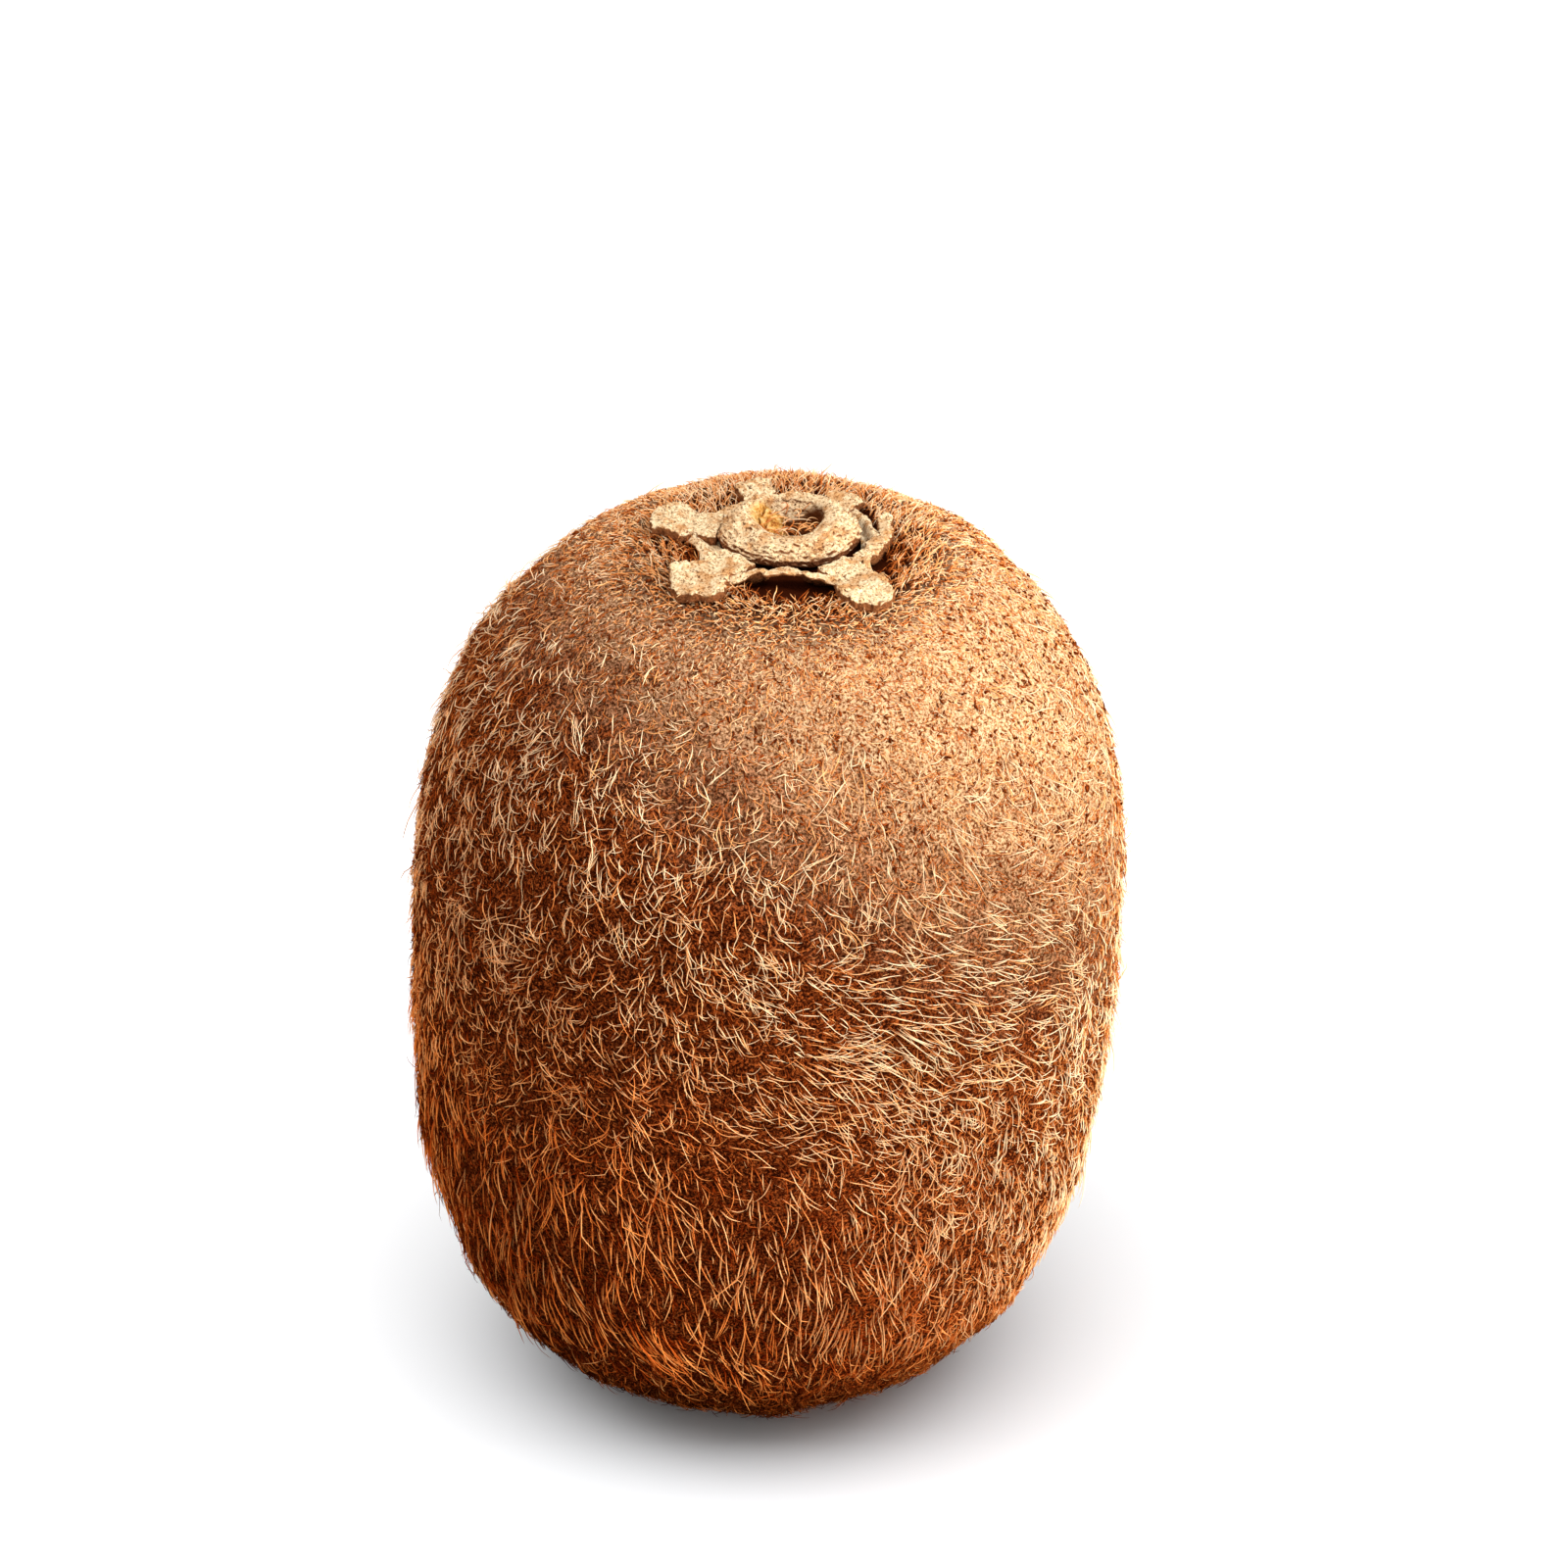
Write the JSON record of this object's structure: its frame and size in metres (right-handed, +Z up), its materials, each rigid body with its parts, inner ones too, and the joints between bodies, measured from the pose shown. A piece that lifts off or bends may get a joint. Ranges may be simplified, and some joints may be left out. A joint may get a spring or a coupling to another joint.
{
  "type": "kiwi fruit",
  "caption": "Whole hairy brown kiwi fruit standing upright, its woody stem scar ringed by dried sepals.",
  "frame": {"origin": "on the surface the fruit stands on, under the middle of its outline", "axes": "+Z up from the blossom end to the stem end, +X across its wider section, the front is -Y"},
  "size_m": [0.051, 0.0478, 0.0687],
  "materials": {
    "fruit_skin": "brown skin under dense short hair, matt",
    "stem_wood": "dry rough wood, matt",
    "blossom_fibre": "dry dark fibre, matt",
    "sepal_cork": "dry pale cork, matt"
  },
  "bodies": {
    "root": {"fruit": "fruit_skin", "stem_scar": "stem_wood", "blossom_scar": "blossom_fibre", "sepal_right": "sepal_cork", "sepal_back_right": "sepal_cork", "sepal_back": "sepal_cork", "sepal_left": "sepal_cork", "sepal_front_left": "sepal_cork", "sepal_front_right": "sepal_cork"}
  },
  "joints": []
}
